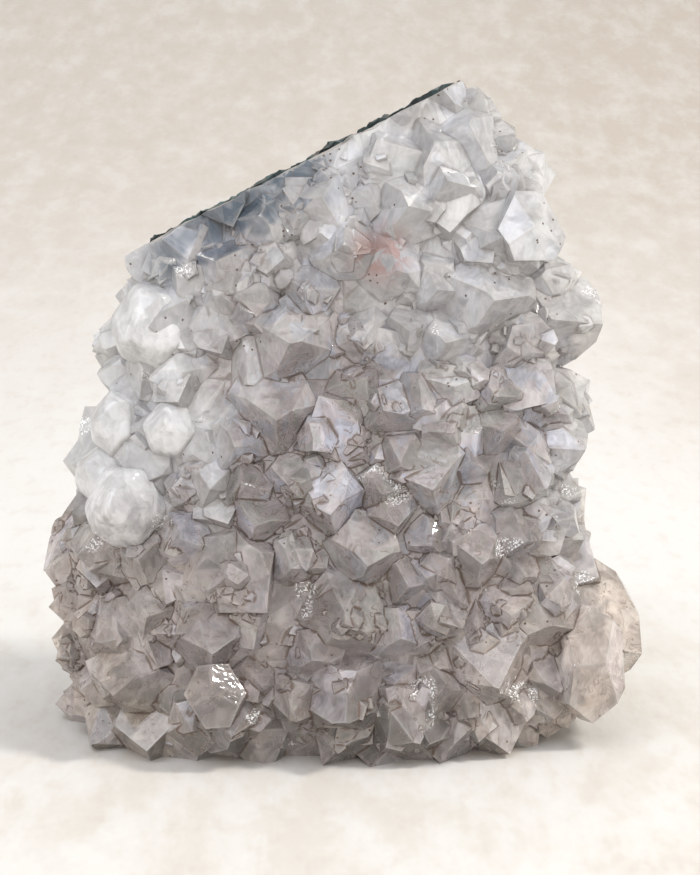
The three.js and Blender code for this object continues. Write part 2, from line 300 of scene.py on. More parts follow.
@dataclass(frozen=True)
class QuartzFinish:
    """Pale lilac quartz: see-through points over a milky inside, with thin dark lines and specks, painted
    shade by its valleys, painted highlights on its ridges and painted sky reflections on some facets.

    Attributes:
        name: the material's name.
        lilac: the colour of most of it.
        lavender: the colour of the bluish patches in it.
        olive: the colour of the greenish ones.
        warm: the warm, paler colour low at both sides, partly the quartz's own tone and partly painted light
            that lifts the shade there.
        white: the colour at the left, the top and the right.
        milky: the colour of the worn crystals.
        low_brown: the darker, browner colour low in the middle.
        stain: the colour of the reddish patch.
        seam: the colour of the thin dark lines and specks.
        rim: the colour of the pale lines on ridges.
        glassy: the colour of the facets below the broken edge.
        inky: the colour of the line along that edge.
        glint: the colour of the glints.
        absorbed: what the clear quartz lets through.
        density: how fast it takes up the rest.
        clear: how see-through an average facet is.
        clear_range: how far a facet may differ from that.
        coat_roughness: how rough the polish of the facets is.
        refraction: how strongly quartz bends light.
        evening: how far the light inside evens the facets out.
        worn_evening: the same on the worn crystals.
        side_turn: how much the whole cluster's front turns away towards its sides.
        drift_scale: how fine the slow drift of all limits is.
        cloud_scale: how fine the soft patches are.
        fine_scale: how fine the finer patches are.
        gate_scale: how fine the patches that choose where marks appear are.
        broken_scale: how fine the patches that break lines up are.
        shard_scale: how fine the straight-edged tints are.
        scratch_scale: how fine the streaks inside are.
        speck_scale: how close together the specks are.
        band_scale: how many growth bands lie across a metre of a facet.
        band_depth: how many lie in a metre of depth.
        band_turn: how far their direction turns over the whole range of facets, in radians.
        band_shift: how far they are moved over that range.
        band_waves: how far the finer patches bend them.
        glint_size: how large one glint is.
        stain_at: the middle of the reddish patch.
        facet_tints_and_reflections: where in the range of facets each tint stands; the bluish tints are
            painted sky reflections.
    """

    name: str = "pale_amethyst"
    lilac: Rgb = (0.82, 0.725, 0.71)
    lavender: Rgb = (0.77, 0.765, 0.83)
    olive: Rgb = (0.65, 0.625, 0.57)
    warm: Rgb = (0.97, 0.81, 0.69)
    white: Rgb = (0.99, 0.995, 0.99)
    milky: Rgb = (0.92, 0.91, 0.895)
    low_brown: Rgb = (0.66, 0.55, 0.50)
    stain: Rgb = (0.62, 0.30, 0.24)
    # seam: the colour of the thin dark lines and specks, and of the painted shade close to valleys.
    seam: Rgb = (0.14, 0.095, 0.075)
    # rim: the colour of the painted highlights on ridges, thin pale lines and a soft glow beside them.
    rim: Rgb = (0.95, 0.92, 0.87)
    glassy: Rgb = (0.24, 0.30, 0.38)
    inky: Rgb = (0.07, 0.12, 0.17)
    glint: Rgb = (1.0, 1.0, 1.0)
    absorbed: Rgb = (0.86, 0.80, 0.86)
    density: float = 10.0
    clear: float = 0.66
    clear_range: float = 0.12
    coat_roughness: float = 0.07
    refraction: float = 1.544
    evening: float = 0.965
    worn_evening: float = 0.75
    side_turn: float = 400.0
    drift_scale: float = 45
    cloud_scale: float = 125
    fine_scale: float = 260
    gate_scale: float = 105
    broken_scale: float = 150
    shard_scale: float = 150
    scratch_scale: float = 1100
    speck_scale: float = 780
    band_scale: float = 300.0
    band_depth: float = 110.0
    band_turn: float = 57.0
    band_shift: float = 9.7
    band_waves: float = 2.2
    glint_size: float = 0.22 * MM
    stain_at: tuple[float, float, float] = (6.5 * MM, -18 * MM, 84 * MM)
    facet_tints_and_reflections: tuple[tuple[float, Rgb], ...] = (
        (0.0, (0.93, 0.97, 1.08)),
        (0.14, (0.94, 0.97, 1.05)),
        (0.18, (0.86, 0.87, 0.84)),
        (0.30, (0.90, 0.90, 0.88)),
        (0.38, (1.0, 0.995, 0.99)),
        (0.8, (1.02, 1.01, 1.0)),
        (0.86, (1.08, 1.06, 1.02)),
        (0.94, (1.08, 1.06, 1.02)),
        (1.0, (0.84, 0.83, 0.82)),
    )

    def build(self) -> bpy.types.Material:
        """Builds the material.

        Returns:
            The quartz material.
        """
        g = ShaderGraph.named(self.name)
        here = self.look_up(g)
        whiteness = self.whiteness(g, here)
        inner, cracks = self.inner_faces(g, here)
        painted_ridge_highlights, seams_and_valley_shade = self.lines(g, here)
        band, inky = self.near_edge(g, here)
        fewer = g.times(g.steps(here.worn, 0.0, 1.0, 0.85, 0.1), g.steps(whiteness, 0.1, 0.8, 1.0, 0.5))
        cracks = g.times(cracks, fewer)
        # Dark lines with the painted shade by valleys, and the cracks, softened where the quartz is white.
        drawn = g.times(g.math("MAXIMUM", seams_and_valley_shade, cracks), g.without(whiteness, 0.7), 0.95)
        dark = g.math("MAXIMUM", drawn, self.specks(g, here))
        glint = self.glints(g, here)
        veil = g.steps(g.math("ADD", here.clouds, here.fine), 0.88, 1.30)

        colour = self.ground(g, here, whiteness)
        colour = g.blend(band, colour, rgba(self.glassy))
        colour = g.blend(g.times(here.worn, 0.75), colour, rgba(self.milky))
        colour = g.blend(g.steps(whiteness, 0.0, 1.0, 1.0, 0.6), colour, inner, "MULTIPLY")
        colour = g.blend(inky, colour, rgba(self.inky))
        colour = g.blend(g.times(veil, g.steps(whiteness, 0.0, 1.0, 0.25, 0.5)), colour, rgba(self.white))
        colour = g.blend(g.times(self.stained(g, here), 0.75), colour, rgba(self.stain))
        # Paint highlights along the ridges.
        colour = g.blend(g.times(painted_ridge_highlights, 0.4), colour, rgba(self.rim))
        # Paint the dark lines, the specks and the shade by valleys.
        colour = g.blend(dark, colour, rgba(self.seam))
        colour = g.blend(glint, colour, rgba(self.glint))

        clear = g.times(
            g.steps(here.facet, 0, 1, self.clear - self.clear_range, self.clear + self.clear_range),
            g.without(whiteness, 0.35),
            g.without(g.math("MAXIMUM", dark, glint)),
            g.steps(here.worn, 0.0, 1.0, 1.0, 0.6),
        )
        grain = g.times(g.noise(here.at, 1500, 0), g.steps(here.facet, 0.45, 0.55, 0.05, 0.4))
        relief = g.math("ADD", g.noise(here.at, 300, 1), grain)
        gloss = g.add("ShaderNodeBump", {"Strength": 0.22, "Distance": 0.3 * MM, "Height": relief})
        surface = g.add(
            "ShaderNodeBsdfPrincipled",
            {
                "Base Color": colour,
                "Roughness": 0.2,
                "IOR": self.refraction,
                "Specular IOR Level": 0.1,
                "Transmission Weight": clear,
                "Normal": self.inside_normal(g, here),
                "Coat Weight": 1.0,
                "Coat Roughness": self.coat_roughness,
                "Coat IOR": self.refraction,
                "Coat Normal": gloss.outputs[0],
            },
        )
        volume = g.add("ShaderNodeVolumeAbsorption", {"Color": rgba(self.absorbed), "Density": self.density})
        return g.finish(surface, volume)

    def look_up(self, g: ShaderGraph) -> QuartzPlace:
        """Reads what the marks and colours share.

        Args:
            g: the graph to add to.

        Returns:
            What is known about the place.
        """
        at = g.add("ShaderNodeTexCoord").outputs["Object"]
        x, _, z = g.add("ShaderNodeSeparateXYZ", {0: at}).outputs
        drift = g.swing(g.noise(at, self.drift_scale, 1), 0.05)
        return QuartzPlace(
            at=at,
            x=x,
            z=z,
            across=g.math("ADD", x, drift),
            height=g.math("ADD", z, drift),
            clouds=g.noise(at, self.cloud_scale, 2, 0.6, 0.7),
            fine=g.noise(at, self.fine_scale, 2, 0.6, 0.6),
            gate=g.noise(at, self.gate_scale, 1),
            broken=g.noise(at, self.broken_scale, 1),
            facet=g.attribute("facet_tone"),
            worn=g.attribute("worn"),
        )

    @staticmethod
    def whiteness(g: ShaderGraph, here: QuartzPlace) -> Socket:
        """How white a place is, from 0 to 1: at the left, the top and the right.

        Args:
            g: the graph to add to.
            here: what is known about the place.

        Returns:
            The share of white.
        """
        left = g.times(g.steps(here.across, -0.010, -0.026), g.steps(here.height, 0.036, 0.050))
        top = g.steps(g.math("ADD", here.height, g.times(here.x, 0.45)), 0.056, 0.096)
        right = g.times(g.steps(here.across, 0.026, 0.040), g.steps(here.z, 0.024, 0.040, 0.1, 0.55))
        return g.math("MAXIMUM", left, g.math("MAXIMUM", g.times(top, 0.8), right))

    def ground(self, g: ShaderGraph, here: QuartzPlace, whiteness: Socket) -> Socket:
        """The quartz's own colour, before its marks.

        Args:
            g: the graph to add to.
            here: what is known about the place.
            whiteness: how white it is.

        Returns:
            The colour.
        """
        from_middle = g.math("ABSOLUTE", here.across)
        # Darker and browner low in the middle.
        low_browning = g.times(g.steps(here.height, 0.052, 0.012), g.steps(from_middle, 0.042, 0.022, 0.15, 1.0))
        # Warmer and paler low at both sides: partly the quartz's own tone, partly painted light lifting the
        # shade there.
        warmth_and_painted_light = g.times(g.steps(from_middle, 0.020, 0.036, 0.0, 0.85), g.steps(here.height, 0.050, 0.020))
        hue = g.math("ADD", here.clouds, g.steps(here.facet, 0.0, 1.0, -0.05, 0.05))
        colour = g.blend(g.steps(hue, 0.47, 0.41), rgba(self.lilac), rgba(self.lavender))
        colour = g.blend(g.steps(hue, 0.53, 0.59), colour, rgba(self.olive))
        colour = g.blend(g.times(low_browning, 0.8), colour, rgba(self.low_brown))
        colour = g.blend(warmth_and_painted_light, colour, rgba(self.warm))
        colour = g.blend(g.times(whiteness, 0.96), colour, rgba(self.white))
        # Multiply in the facets' tints, among them painted sky reflections.
        return g.blend(g.steps(whiteness, 0.0, 1.0, 0.85, 0.3), colour, self.tint(g, here), "MULTIPLY")

    def tint(self, g: ShaderGraph, here: QuartzPlace) -> Socket:
        """One tint for each flat facet: bluish, olive, plain, cream or grey, where the bluish ones are
        painted sky reflections.

        Args:
            g: the graph to add to.
            here: what is known about the place.

        Returns:
            The tint.
        """
        ramp = g.add("ShaderNodeValToRGB", {0: here.facet})
        stops = ramp.color_ramp.elements
        while len(stops) < len(self.facet_tints_and_reflections):
            stops.new(0.5)
        for stop, (at, tint) in zip(stops, self.facet_tints_and_reflections):
            stop.position = at
            stop.color = rgba(tint)
        return ramp.outputs[0]

    def inside_normal(self, g: ShaderGraph, here: QuartzPlace) -> Socket:
        """The facets' normal turned towards the whole cluster's, because light inside evens the facets out.

        Args:
            g: the graph to add to.
            here: what is known about the place.

        Returns:
            The normal for the light from inside.
        """
        facing = g.add("ShaderNodeNewGeometry").outputs["Normal"]
        sideways = g.times(here.x, g.times(g.math("ABSOLUTE", here.x), self.side_turn))
        towards = g.add("ShaderNodeCombineXYZ", {0: sideways, 1: -1.0, 2: 0.2}).outputs[0]
        whole = g.add(
            "ShaderNodeVectorTransform",
            {0: towards},
            vector_type="NORMAL",
            convert_from="OBJECT",
            convert_to="WORLD",
        ).outputs[0]
        whole = g.vector("NORMALIZE", whole).outputs[0]
        likeness = g.vector("DOT_PRODUCT", facing, whole).outputs[1]
        share = g.times(
            g.steps(likeness, -0.5, 0.25), g.steps(here.worn, 0.0, 1.0, self.evening, self.worn_evening)
        )
        mixed = g.add("ShaderNodeMix", {0: share, 4: facing, 5: whole}, data_type="VECTOR").outputs[1]
        return g.vector("NORMALIZE", mixed).outputs[0]

    def inner_faces(self, g: ShaderGraph, here: QuartzPlace) -> tuple[Socket, Socket]:
        """Straight-edged tints, clouds and thin broken lines, as of faces and cracks inside the crystals.

        Args:
            g: the graph to add to.
            here: what is known about the place.

        Returns:
            The tint, and the share of the dark lines.
        """
        bend = g.swing(here.fine, 0.006)
        bend = g.add("ShaderNodeCombineXYZ", {0: bend, 2: bend}).outputs[0]
        moved = g.vector("ADD", here.at, bend).outputs[0]
        shards = g.cells(moved, self.shard_scale)
        shard = g.add("ShaderNodeSeparateColor", {0: shards.outputs["Color"]}).outputs[0]
        scratched = g.vector("MULTIPLY", moved, (1.0, 1.0, 0.3)).outputs[0]
        scratches = g.noise(scratched, self.scratch_scale, 1, 0.7)

        # Growth bands run across each facet in a direction of its own.
        turn = g.times(here.facet, self.band_turn)
        sideways = g.times(g.math("COSINE", turn), self.band_scale)
        upwards = g.times(g.math("SINE", turn), self.band_scale)
        across = g.add("ShaderNodeCombineXYZ", {0: sideways, 1: self.band_depth, 2: upwards}).outputs[0]
        along = g.vector("DOT_PRODUCT", here.at, across).outputs[1]
        moved_on = g.math("ADD", g.times(here.facet, self.band_shift), g.times(here.fine, self.band_waves))
        along = g.math("ADD", along, moved_on)
        band = g.math("ADD", g.math("FLOOR", along), here.facet)
        band_tone = g.add("ShaderNodeTexWhiteNoise", {"W": band}, noise_dimensions="1D").outputs[0]
        tone = g.times(
            g.steps(shard, 0.0, 1.0, 0.86, 1.11),
            g.steps(here.fine, 0.34, 0.66, 0.76, 1.20),
            g.steps(scratches, 0.30, 0.70, 0.84, 1.12),
            g.steps(band_tone, 0.0, 1.0, 0.88, 1.09),
        )

        lines = g.steps(g.math("PINGPONG", along, 0.5), g.steps(here.gate, 0.5, 0.68, 0.03, 0.075), 0.012)
        lines = g.times(lines, g.steps(here.gate, 0.50, 0.53))
        strokes = g.steps(g.math("PINGPONG", g.math("SUBTRACT", here.fine, 0.53), 0.045), 0.013, 0.004)
        strokes = g.times(strokes, g.times(g.steps(here.gate, 0.53, 0.46), g.steps(here.broken, 0.47, 0.51)))
        tint = g.add("ShaderNodeCombineColor", {0: tone, 1: tone, 2: tone}).outputs[0]
        return tint, g.math("MAXIMUM", lines, strokes)

    @staticmethod
    def near_edge(g: ShaderGraph, here: QuartzPlace) -> tuple[Socket, Socket]:
        """How glassy a place is, from 0 to 1: whole facets close below the left half of the broken edge.

        Args:
            g: the graph to add to.
            here: what is known about the place.

        Returns:
            The share of the glassy colour, and of the inky colour closest to the edge.
        """
        climb = g.times(g.math("SUBTRACT", here.x, EDGE_LEFT), math.tan(EDGE_CLIMB))
        below = g.math("SUBTRACT", g.math("ADD", climb, EDGE_HEIGHT), here.z)
        below = g.math("ADD", below, g.swing(here.broken, 0.008))
        reach = g.steps(here.facet, 0.1, 0.9, 0.0070, 0.0002)
        band = g.steps(g.math("SUBTRACT", below, reach), 0.0012, -0.0012, 0.0, 0.85)
        along = g.times(g.steps(here.x, -0.034, -0.026), g.steps(here.x, 0.002, -0.008))
        line = g.steps(below, 0.0046, 0.0014, 0.0, 0.85)
        line = g.times(line, g.times(along, g.steps(here.facet, 0.8, 0.6, 0.25, 1.0)))
        return g.times(band, along), line

    def stained(self, g: ShaderGraph, here: QuartzPlace) -> Socket:
        """The patch of reddish stain, from 0 to 1."""
        distance = g.vector("DISTANCE", here.at, self.stain_at).outputs[1]
        return g.times(g.steps(distance, 0.0075, 0.002), g.steps(here.fine, 0.42, 0.54))

    @staticmethod
    def lines(g: ShaderGraph, here: QuartzPlace) -> tuple[Socket, Socket]:
        """Thin broken lines along the facets' borders: pale painted highlights on ridges and dark lines
        mostly in valleys, with a soft painted glow by ridges and painted shade by valleys.

        Args:
            g: the graph to add to.
            here: what is known about the place.

        Returns:
            The shares of the painted ridge highlights, and of the dark lines with the painted valley shade.
        """
        edge = g.math("ADD", g.attribute("edge_distance"), g.swing(here.fine, 0.0004))
        valley = g.attribute("seam")
        painted_ridge_highlights = g.times(g.steps(edge, 0.00045, 0.00018), g.steps(here.broken, 0.58, 0.46))
        # A soft painted glow close to ridges.
        painted_ridge_highlights = g.math("MAXIMUM", painted_ridge_highlights, g.steps(edge, 0.0016, 0.0, 0.0, 0.35))
        width = g.steps(here.broken, 0.46, 0.62, 0.00022, 0.00090)
        seams_and_valley_shade = g.times(g.steps(edge, width, 0.00010), g.steps(here.broken, 0.38, 0.46))
        # Soft painted shade close to valleys, fainter close to ridges.
        seams_and_valley_shade = g.math("MAXIMUM", seams_and_valley_shade, g.steps(edge, 0.0014, 0.0, 0.0, 0.12))
        return g.times(painted_ridge_highlights, g.without(valley)), g.times(seams_and_valley_shade, g.steps(valley, 0.0, 1.0, 0.4, 1.0))

    def specks(self, g: ShaderGraph, here: QuartzPlace) -> Socket:
        """Small dark specks in clusters, from 0 to 1, with none on the worn crystals.

        Args:
            g: the graph to add to.
            here: what is known about the place.

        Returns:
            The share of the speck's colour.
        """
        cells = g.cells(here.at, self.speck_scale)
        chosen = g.steps(g.add("ShaderNodeSeparateColor", {0: cells.outputs["Color"]}).outputs[0], 0.60, 0.61)
        dots = g.times(g.steps(cells.outputs["Distance"], 0.21, 0.14), chosen)
        return g.times(dots, g.steps(here.gate, 0.53, 0.57), g.steps(here.worn, 0.0, 1.0, 1.0, 0.0))

    def glints(self, g: ShaderGraph, here: QuartzPlace) -> Socket:
        """Small white broken glints in a few patches, from 0 to 1.

        Args:
            g: the graph to add to.
            here: what is known about the place.

        Returns:
            The share of white.
        """
        grains = g.vector("SNAP", here.at, (self.glint_size,) * 3).outputs[0]
        chosen = g.add("ShaderNodeTexWhiteNoise", {"Vector": grains}, noise_dimensions="3D").outputs[0]
        patch = g.times(g.steps(here.gate, 0.335, 0.275), g.steps(here.facet, 0.48, 0.52))
        return g.times(g.steps(chosen, 0.55, 0.85), patch)


@dataclass(frozen=True)
class RootFinish:
    """Milky quartz where the crystals grew from the rock."""

    name: str = "milky_root"
    milk: Rgb = (0.90, 0.89, 0.91)
    grey: Rgb = (0.72, 0.74, 0.78)

    def build(self) -> bpy.types.Material:
        """Builds the material.

        Returns:
            The root's material.
        """
        g = ShaderGraph.named(self.name)
        place = g.add("ShaderNodeTexCoord").outputs["Object"]
        colour = g.blend(g.steps(g.noise(place, 120, 4), 0.4, 0.6), rgba(self.milk), rgba(self.grey))
        surface = g.add("ShaderNodeBsdfPrincipled", {"Base Color": colour, "Roughness": 0.6})
        return g.finish(surface)


@dataclass(frozen=True)
class RockFinish:
    """Rough dark blue-green volcanic rock with pale dust in its hollows."""

    name: str = "dark_rock"
    dark: Rgb = (0.040, 0.048, 0.048)
    green: Rgb = (0.070, 0.120, 0.120)
    earthy: Rgb = (0.13, 0.105, 0.085)
    dust: Rgb = (0.24, 0.23, 0.21)

    def build(self) -> bpy.types.Material:
        """Builds the material.

        Returns:
            The rock material.
        """
        g = ShaderGraph.named(self.name)
        place = g.add("ShaderNodeTexCoord").outputs["Object"]
        broad = g.noise(place, 70, 6, 0.6)
        fine = g.noise(place, 520, 5, 0.6)
        colour = g.blend(g.steps(broad, 0.36, 0.66), rgba(self.dark), rgba(self.green))
        earth = g.steps(g.noise(place, 200, 4, 0.6), 0.50, 0.66, 0.0, 0.7)
        colour = g.blend(earth, colour, rgba(self.earthy))
        colour = g.blend(g.times(g.steps(fine, 0.52, 0.68), 0.35), colour, rgba(self.dust))
        height = g.math("ADD", g.times(broad, 0.7), g.times(fine, 0.3))
        bump = g.add("ShaderNodeBump", {"Strength": 0.9, "Distance": 1.2 * MM, "Height": height})
        rough = g.steps(fine, 0.3, 0.7, 0.55, 0.95)
        surface = g.add(
            "ShaderNodeBsdfPrincipled", {"Base Color": colour, "Roughness": rough, "Normal": bump.outputs[0]}
        )
        return g.finish(surface)


@dataclass(frozen=True)
class FloorFinish:
    """Pale warm stone, mottled with lighter and browner clouds."""

    name: str = "pale_stone_floor"
    pale: Rgb = (0.675, 0.665, 0.64)
    light: Rgb = (0.63, 0.61, 0.57)
    mid: Rgb = (0.58, 0.545, 0.49)
    brown: Rgb = (0.485, 0.415, 0.345)

    def build(self) -> bpy.types.Material:
        """Builds the material.

        Returns:
            The floor material.
        """
        g = ShaderGraph.named(self.name)
        place = g.add("ShaderNodeTexCoord").outputs["Object"]
        right, depth, _ = g.add("ShaderNodeSeparateXYZ", {0: place}).outputs
        drawn_out = g.vector("MULTIPLY", place, (1.0, 0.42, 0.42)).outputs[0]
        clouds = g.noise(drawn_out, 75, 4, 0.65)
        grains = g.noise(drawn_out, 280, 2, 0.6)
        colour = g.blend(g.steps(clouds, 0.40, 0.60), rgba(self.mid), rgba(self.light))
        colour = g.blend(g.steps(depth, 0.0, 0.10, 0.0, 0.75), colour, rgba(self.pale))
        far = g.math("ADD", depth, g.swing(clouds, 0.4))
        browner = g.times(g.steps(far, 0.13, 0.62), g.steps(right, 0.03, 0.12, 0.6, 0.75))
        right_side = g.times(g.steps(right, 0.045, 0.12), g.steps(depth, 0.1, 0.3, 0.0, 0.55))
        colour = g.blend(g.math("MAXIMUM", browner, right_side), colour, rgba(self.brown))
        colour = g.blend(g.times(g.steps(grains, 0.50, 0.72), 0.2), colour, rgba(self.brown))
        patches = g.steps(g.noise(drawn_out, 85, 4, 0.7), 0.38, 0.74, 0.0, 0.5)
        colour = g.blend(patches, colour, rgba(self.pale))
        bump = g.add("ShaderNodeBump", {"Strength": 0.2, "Distance": 0.6 * MM, "Height": grains})
        surface = g.add(
            "ShaderNodeBsdfPrincipled", {"Base Color": colour, "Roughness": 0.85, "Normal": bump.outputs[0]}
        )
        return g.finish(surface)


# ---- The quartz ----

# Where the quartz behind a placed crystal is measured, as shares of the crystal's width and height.
MEASURED_AT = (-0.5, -0.2, 0.2, 0.5)
# How far in front of the object the measuring starts.
WELL_IN_FRONT = 0.2
# How far it keeps small points away to each side, as a share of its width and height.
COVERED = 0.6
# How far it stays inside the CAD's box.
BOX_MARGIN = 0.3 * MM


def side_and_face(side: int, turn: float) -> tuple[Vector, Vector]:
    """The way out of one side of an upright quartz point, and out of the face above it.

    Args:
        side: which of the six sides.
        turn: how far the point is turned round its axis, in radians.

    Returns:
        The two unit normals.
    """
    angle = side * math.tau / SIDES + turn
    out = Vector((math.cos(angle), math.sin(angle), 0))
    return out, out * math.sin(FACE_TILT) + Vector((0, 0, math.cos(FACE_TILT)))


@dataclass
class PointTemplates:
    """Small quartz points of unit width, cut from six-sided prisms, to be copied at many sizes.

    Attributes:
        count: how many different points to make.
        length: how long each is for its width.
        block: how wide the block is that each is cut from.
        side_range: how far its sides stand from its axis, as shares of the even place.
        set_back: how far every other face of its tip may be set back.
        meshes: the points, once they are built.
    """

    count: int = 14
    length: float = 1.5
    block: float = 1.5
    side_range: tuple[float, float] = (0.82, 1.1)
    set_back: float = 0.22
    meshes: list[bpy.types.Mesh] = field(default_factory=list)

    def build(self, stream: random.Random) -> None:
        """Makes the templates, each with its tip at the origin, pointing up.

        Args:
            stream: the random numbers that vary them.
        """
        for index in range(self.count):
            bm = bmesh.new()
            size = Matrix.Diagonal((self.block, self.block, self.length, 1))
            bmesh.ops.create_cube(bm, size=1.0, matrix=size)
            bmesh.ops.translate(bm, verts=bm.verts, vec=(0, 0, -self.length / 2))
            for side in range(SIDES):
                out, tilted = side_and_face(side, 0.0)
                self.cut(bm, out, out * 0.5 * stream.uniform(*self.side_range))
                set_back = stream.uniform(0.0, self.set_back) if side % 2 else 0.0
                self.cut(bm, tilted, tilted * set_back)
            mesh = bpy.data.meshes.new(f"point_template_{index}")
            bm.to_mesh(mesh)
            bm.free()
            self.meshes.append(mesh)

    @staticmethod
    def cut(bm: bmesh.types.BMesh, normal: Vector, at: Vector) -> None:
        """Cuts off what lies beyond a plane and closes the cut.

        Args:
            bm: the closed mesh to cut.
            normal: the plane's outward normal.
            at: a point on the plane.
        """
        geometry = bm.verts[:] + bm.edges[:] + bm.faces[:]
        cut = bmesh.ops.bisect_plane(bm, geom=geometry, plane_no=normal, plane_co=at, clear_outer=True)
        edges = [e for e in cut["geom_cut"] if isinstance(e, bmesh.types.BMEdge)]
        if edges:
            bmesh.ops.contextual_create(bm, geom=edges)


@dataclass(frozen=True)
class PlacedCrystal:
    """A larger crystal at its own place on the front, in millimetres.

    Attributes:
        x: where its middle is, sideways.
        z: and its height there.
        width: its width.
        height: its height.
        turn: how far it is turned round its own axis, in radians.
        lean: which way its axis leans from straight out of the front, sideways and up.
        out: how far it stands out in front of its neighbours, as a share of its width.
        steepness: how steep its point is, where 1 is a quartz point seen straight on.
    """

    x: float
    z: float
    width: float
    height: float
    turn: float = 0.0
    lean: tuple[float, float] = (-0.3, 0.2)
    out: float = 0.12
    steepness: float = 0.45

    def unit_shape(self, bm: bmesh.types.BMesh, templates: PointTemplates) -> None:
        """Adds the crystal at unit width, its tip upwards.

        Args:
            bm: the empty mesh to add to.
            templates: small points with crisp faces.
        """
        bm.from_mesh(templates.meshes[int(self.width * 7) % len(templates.meshes)])
        bmesh.ops.rotate(bm, verts=bm.verts, matrix=Matrix.Rotation(self.turn, 3, "Z"))

    def shape(self, surface: BVHTree, templates: PointTemplates) -> bpy.types.Mesh:
        """Makes the crystal where it stands.

        Args:
            surface: the quartz that it stands out of.
            templates: small points with crisp faces.

        Returns:
            One closed mesh.
        """
        axis = Vector((self.lean[0], -1.0, self.lean[1])).normalized()
        up = Vector((0, 0, 1)) - axis * axis.z
        up.normalize()
        bm = bmesh.new()
        self.unit_shape(bm, templates)
        bm.verts.ensure_lookup_table()
        tip = Vector((self.x, 0, self.z)) * MM + Vector((0, self.front_of(surface), 0))
        tip += axis * self.out * self.width * MM
        depth = self.width * self.steepness * MM
        top = max(vert.co.z for vert in bm.verts) * depth
        axes = Matrix((up.cross(axis), up, axis)).transposed().to_4x4()
        size = Matrix.Diagonal((self.width * MM, self.height * MM, depth, 1))
        bmesh.ops.transform(bm, matrix=Matrix.Translation(tip - axis * top) @ axes @ size, verts=bm.verts)
        self.keep_in_box(bm)
        bmesh.ops.recalc_face_normals(bm, faces=bm.faces)
        mesh = bpy.data.meshes.new("placed_crystal")
        bm.to_mesh(mesh)
        bm.free()
        return mesh

    def front_of(self, surface: BVHTree) -> float:
        """How far forward the quartz comes where the crystal stands.

        Args:
            surface: the quartz.

        Returns:
            Its foremost y, in metres.
        """
        found = []
        for across in MEASURED_AT:
            for up in MEASURED_AT:
                x, z = self.x + across * self.width, self.z + up * self.height
                hit, _, _, _ = surface.ray_cast(Vector((x * MM, -WELL_IN_FRONT, z * MM)), Vector((0, 1, 0)))
                if hit is not None:
                    found.append(hit.y)
        return min(found)

    def keep_in_box(self, bm: bmesh.types.BMesh) -> None:
        """Moves the crystal back inside the CAD's box where it stands out.

        Args:
            bm: the crystal in its place, which is changed.
        """
        low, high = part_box(Node.CRYSTALS.value)
        for side in range(3):
            least = min(vert.co[side] for vert in bm.verts)
            most = max(vert.co[side] for vert in bm.verts)
            shift = Vector((0, 0, 0))
            shift[side] = max(low[side] + BOX_MARGIN - least, 0.0) + min(high[side] - BOX_MARGIN - most, 0.0)
            bmesh.ops.translate(bm, verts=bm.verts, vec=shift)

    def covers(self, spot: Vector) -> bool:
        """Whether a place on the front lies where this crystal stands.

        Args:
            spot: the place.

        Returns:
            True where it does.
        """
        across = (spot.x / MM - self.x) / (COVERED * self.width)
        up = (spot.z / MM - self.z) / (COVERED * self.height)
        return across * across + up * up < 1.0 and spot.y < 0


@dataclass(frozen=True)
class WornCrystal(PlacedCrystal):
    """A milky crystal with rounded edges.

    Attributes:
        crispness: how crisp its edges are; low numbers are rounder.
    """

    steepness: float = 0.9
    crispness: float = 16.0

    def unit_shape(self, bm: bmesh.types.BMesh, templates: PointTemplates) -> None:
        """Adds the crystal at unit width, its tip upwards.

        Args:
            bm: the empty mesh to add to.
            templates: not used, because its faces run smoothly into one another.
        """
        bmesh.ops.create_icosphere(bm, subdivisions=5, radius=1.0)
        planes = self.planes()
        for vert in bm.verts:
            towards = vert.co.normalized()
            total = sum(max(towards.dot(normal), 0.0) ** self.crispness / reach for normal, reach in planes)
            vert.co = towards * total ** (-1 / self.crispness)

    def planes(self) -> list[tuple[Vector, float]]:
        """Lists the unit crystal's faces.

        Returns:
            Each face as its normal and its distance raised to the crispness.
        """
        # Its back is 0.9 widths away, its sides half a width, and every other face of its tip a little
        # further than the rest.
        found = [(Vector((0, 0, -1)), 0.9**self.crispness)]
        for side in range(SIDES):
            out, slope = side_and_face(side, self.turn)
            found.append((out, 0.5**self.crispness))
            found.append((slope, (0.43 + 0.07 * (side % 2)) ** self.crispness))
        return found


@dataclass(frozen=True)
class GrowthRule:
    """How the small crystals of one kind grow.

    Attributes:
        share: how many of all the small crystals are of this kind.
        widths: the least and the greatest width, in millimetres.
        lean: how far an axis may lean from straight out, in radians.
        rise: how far a tip stands out, as the least and the greatest share of the width.
    """

    share: float
    widths: tuple[float, float]
    lean: float
    rise: tuple[float, float]


RULES = {
    Growth.CREVICE: GrowthRule(0.5, (3.0, 8.5), 0.6, (0.10, 0.36)),
    Growth.RIDGE: GrowthRule(0.4, (3.0, 8.5), 0.6, (0.05, 0.26)),
    Growth.DRUSE: GrowthRule(0.1, (1.5, 3.4), 0.7, (0.08, 0.25)),
}


